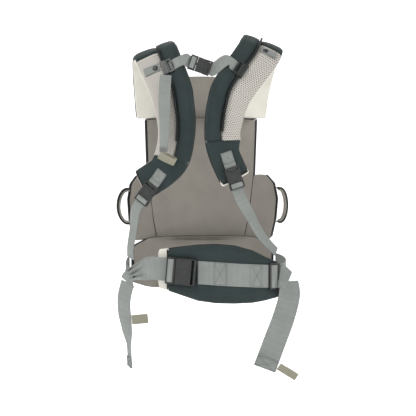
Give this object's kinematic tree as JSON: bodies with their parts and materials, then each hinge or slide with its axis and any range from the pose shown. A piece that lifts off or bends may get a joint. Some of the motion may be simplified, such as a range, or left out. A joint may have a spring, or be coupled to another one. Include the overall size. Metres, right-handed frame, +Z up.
{
  "type": "soft baby carrier",
  "caption": "Soft baby carrier in its worn shape: padded shoulder straps with sliding chest strap, padded waist belt with side-release buckle, seat panel and neck support.",
  "frame": {"origin": "on the wearer's trunk axis at the waist belt's mid-height", "axes": "+Z up, -Y towards the wearer's back, +X towards the wearer's right"},
  "size_m": [0.3935, 0.2861, 0.756],
  "materials": {
    "slate_fabric": "plain woven, matt",
    "air_mesh": "open knitted mesh",
    "cream_lining": "soft knit",
    "taupe_lining": "brushed knit, padded",
    "webbing": "flat woven webbing",
    "elastic": "ribbed elastic",
    "black_piping": "satin",
    "buckle_plastic": "fine grain",
    "stud_plastic": "satin",
    "stud_metal": "plain"
  },
  "bodies": {
    "carrier": {"belt_webbing_left": "webbing", "belt_webbing_right": "webbing", "chest_socket": "buckle_plastic", "chest_webbing_left": "webbing", "chest_webbing_right": "webbing", "front_belt_lining": "taupe_lining", "front_belt_pad": "slate_fabric", "left_box_tab": "webbing", "left_seat_wing": "taupe_lining", "left_shoulder_socket": "buckle_plastic", "left_shoulder_webbing": "webbing", "left_strap_band": "slate_fabric", "left_strap_end": "slate_fabric", "left_strap_lining": "cream_lining", "left_strap_mesh": "air_mesh", "left_strap_rail": "black_piping", "leg_loops": "taupe_lining", "lumbar_lining": "cream_lining", "lumbar_pad": "slate_fabric", "lumbar_webbing": "webbing", "panel_cover": "slate_fabric", "panel_lining": "taupe_lining", "right_box_tab": "webbing", "right_seat_wing": "taupe_lining", "right_shoulder_socket": "buckle_plastic", "right_shoulder_webbing": "webbing", "right_strap_band": "slate_fabric", "right_strap_end": "slate_fabric", "right_strap_lining": "cream_lining", "right_strap_mesh": "air_mesh", "right_strap_rail": "black_piping", "snap_studs": "stud_metal", "waist_socket": "buckle_plastic"},
    "waist_plug": {"waist_plug": "buckle_plastic"},
    "waist_latch_a": {"waist_latch_a": "buckle_plastic"},
    "waist_latch_b": {"waist_latch_b": "buckle_plastic"},
    "left_shoulder_plug": {"left_shoulder_plug": "buckle_plastic"},
    "left_shoulder_latch_a": {"left_shoulder_latch_a": "buckle_plastic"},
    "left_shoulder_latch_b": {"left_shoulder_latch_b": "buckle_plastic"},
    "right_shoulder_plug": {"right_shoulder_plug": "buckle_plastic"},
    "right_shoulder_latch_a": {"right_shoulder_latch_a": "buckle_plastic"},
    "right_shoulder_latch_b": {"right_shoulder_latch_b": "buckle_plastic"},
    "chest_plug": {"chest_plug": "buckle_plastic"},
    "chest_latch_a": {"chest_latch_a": "buckle_plastic"},
    "chest_latch_b": {"chest_latch_b": "buckle_plastic"},
    "left_slider": {"left_chest_slider": "buckle_plastic"},
    "left_snap_tab": {"left_snap_tab": "webbing", "left_snap_cap": "stud_plastic"},
    "right_slider": {"right_chest_slider": "buckle_plastic"},
    "right_snap_tab": {"right_snap_tab": "webbing", "right_snap_cap": "stud_plastic"},
    "neck_support": {"neck_support": "slate_fabric", "neck_support_lining": "taupe_lining"},
    "tri_glide": {"tri_glide": "buckle_plastic"},
    "chest_tail": {"chest_tail": "webbing"},
    "belt_tail_left": {"belt_tail_left": "webbing"},
    "belt_tail_right": {"belt_tail_right": "webbing"},
    "chest_keeper": {"chest_keeper": "elastic"},
    "belt_keeper_left": {"belt_keeper_left": "elastic"},
    "belt_keeper_right": {"belt_keeper_right": "elastic"}
  },
  "joints": [
    {"name": "waist_release", "type": "slide", "parent": "carrier", "child": "waist_plug", "axis": [-0.9765, 0.1971, 0.0867], "range_m": [0, 0.027]},
    {"name": "waist_latch_a_press", "type": "hinge", "parent": "waist_plug", "child": "waist_latch_a", "pos_m": [-0.07699, -0.11541, 0.03035], "axis": [0.1979, 0.9802, 0], "range_deg": [0, 7], "stiffness_Nm_per_rad": 0.2},
    {"name": "waist_latch_b_press", "type": "hinge", "parent": "waist_plug", "child": "waist_latch_b", "pos_m": [-0.08097, -0.1146, -0.01628], "axis": [-0.1979, -0.9802, 0], "range_deg": [0, 7], "stiffness_Nm_per_rad": 0.2},
    {"name": "left_shoulder_release", "type": "slide", "parent": "carrier", "child": "left_shoulder_plug", "axis": [-0.5355, 0.2266, -0.8136], "range_m": [0, 0.02]},
    {"name": "left_shoulder_latch_a_press", "type": "hinge", "parent": "left_shoulder_plug", "child": "left_shoulder_latch_a", "pos_m": [-0.15164, -0.09651, 0.17362], "axis": [0.4486, 0.8925, -0.0467], "range_deg": [0, 7], "stiffness_Nm_per_rad": 0.2},
    {"name": "left_shoulder_latch_b_press", "type": "hinge", "parent": "left_shoulder_plug", "child": "left_shoulder_latch_b", "pos_m": [-0.13604, -0.10501, 0.16098], "axis": [-0.4486, -0.8925, 0.0467], "range_deg": [0, 7], "stiffness_Nm_per_rad": 0.2},
    {"name": "right_shoulder_release", "type": "slide", "parent": "carrier", "child": "right_shoulder_plug", "axis": [0.3102, 0, -0.9507], "range_m": [0, 0.02]},
    {"name": "right_shoulder_latch_a_press", "type": "hinge", "parent": "right_shoulder_plug", "child": "right_shoulder_latch_a", "pos_m": [0.03666, -0.12862, 0.19615], "axis": [-0.0541, 0.9984, -0.0177], "range_deg": [0, 7], "stiffness_Nm_per_rad": 0.2},
    {"name": "right_shoulder_latch_b_press", "type": "hinge", "parent": "right_shoulder_plug", "child": "right_shoulder_latch_b", "pos_m": [0.05735, -0.12738, 0.2029], "axis": [0.0541, -0.9984, 0.0177], "range_deg": [0, 7], "stiffness_Nm_per_rad": 0.2},
    {"name": "chest_release", "type": "slide", "parent": "carrier", "child": "chest_plug", "axis": [-0.9387, 0.0599, 0.3395], "range_m": [0, 0.02], "deforming": ["chest_webbing_left"]},
    {"name": "chest_latch_a_press", "type": "hinge", "parent": "chest_plug", "child": "chest_latch_a", "pos_m": [-0.02776, -0.10037, 0.45767], "axis": [0.0336, 0.996, -0.0827], "range_deg": [0, 7], "stiffness_Nm_per_rad": 0.2},
    {"name": "chest_latch_b_press", "type": "hinge", "parent": "chest_plug", "child": "chest_latch_b", "pos_m": [-0.03524, -0.10182, 0.43724], "axis": [-0.0336, -0.996, 0.0827], "range_deg": [0, 7], "stiffness_Nm_per_rad": 0.2},
    {"name": "left_slider_height", "type": "slide", "parent": "carrier", "child": "left_slider", "axis": [0.2475, -0.5776, -0.7779], "range_m": [-0.018, 0.018], "deforming": ["chest_webbing_left"]},
    {"name": "left_snap_open", "type": "hinge", "parent": "carrier", "child": "left_snap_tab", "pos_m": [-0.14197, -0.06875, 0.42759], "axis": [0.2475, -0.5776, -0.7779], "range_deg": [0, 100]},
    {"name": "right_slider_height", "type": "slide", "parent": "carrier", "child": "right_slider", "axis": [-0.5582, -0.4238, -0.7133], "range_m": [-0.018, 0.018], "deforming": ["chest_webbing_right"]},
    {"name": "right_snap_open", "type": "hinge", "parent": "carrier", "child": "right_snap_tab", "pos_m": [0.14596, -0.05821, 0.46381], "axis": [0.4104, 0.7295, 0.5472], "range_deg": [0, 100]},
    {"name": "neck_support_fold", "type": "hinge", "parent": "carrier", "child": "neck_support", "pos_m": [0, 0.1365, 0.3315], "axis": [-1, 0, 0], "range_deg": [0, 150]},
    {"name": "tri_glide_tilt", "type": "hinge", "parent": "carrier", "child": "tri_glide", "pos_m": [0.14919, -0.08174, -0.01118], "axis": [0, 0, 1], "range_deg": [0, 35]},
    {"name": "chest_tail_lift", "type": "hinge", "parent": "carrier", "child": "chest_tail", "pos_m": [-0.101, -0.12, 0.424], "axis": [-1, 0, 0], "range_deg": [0, 60]},
    {"name": "belt_tail_left_lift", "type": "hinge", "parent": "carrier", "child": "belt_tail_left", "pos_m": [-0.176, -0.024, -0.028], "axis": [0, 1, 0], "range_deg": [0, 50]},
    {"name": "belt_tail_right_lift", "type": "hinge", "parent": "carrier", "child": "belt_tail_right", "pos_m": [0.171, -0.0845, -0.022], "axis": [-1, 0, 0], "range_deg": [0, 60]},
    {"name": "chest_keeper_swing", "type": "hinge", "parent": "chest_tail", "child": "chest_keeper", "pos_m": [-0.1175, -0.1506, 0.257], "axis": [-0.4311, 0, -0.9023], "range_deg": [0, 60]},
    {"name": "belt_keeper_left_swing", "type": "hinge", "parent": "belt_tail_left", "child": "belt_keeper_left", "pos_m": [-0.1688, -0.0401, -0.108], "axis": [0.0599, 0, -0.9982], "range_deg": [0, 60]},
    {"name": "belt_keeper_right_swing", "type": "hinge", "parent": "belt_tail_right", "child": "belt_keeper_right", "pos_m": [0.1474, -0.0991, -0.2072], "axis": [-0.5349, 0, -0.8449], "range_deg": [0, 60]}
  ],
  "couplings": [
    {"joint": "waist_latch_b_press", "follows": "waist_latch_a_press", "ratio": 1},
    {"joint": "left_shoulder_latch_b_press", "follows": "left_shoulder_latch_a_press", "ratio": 1},
    {"joint": "right_shoulder_latch_b_press", "follows": "right_shoulder_latch_a_press", "ratio": 1},
    {"joint": "chest_latch_b_press", "follows": "chest_latch_a_press", "ratio": 1}
  ]
}
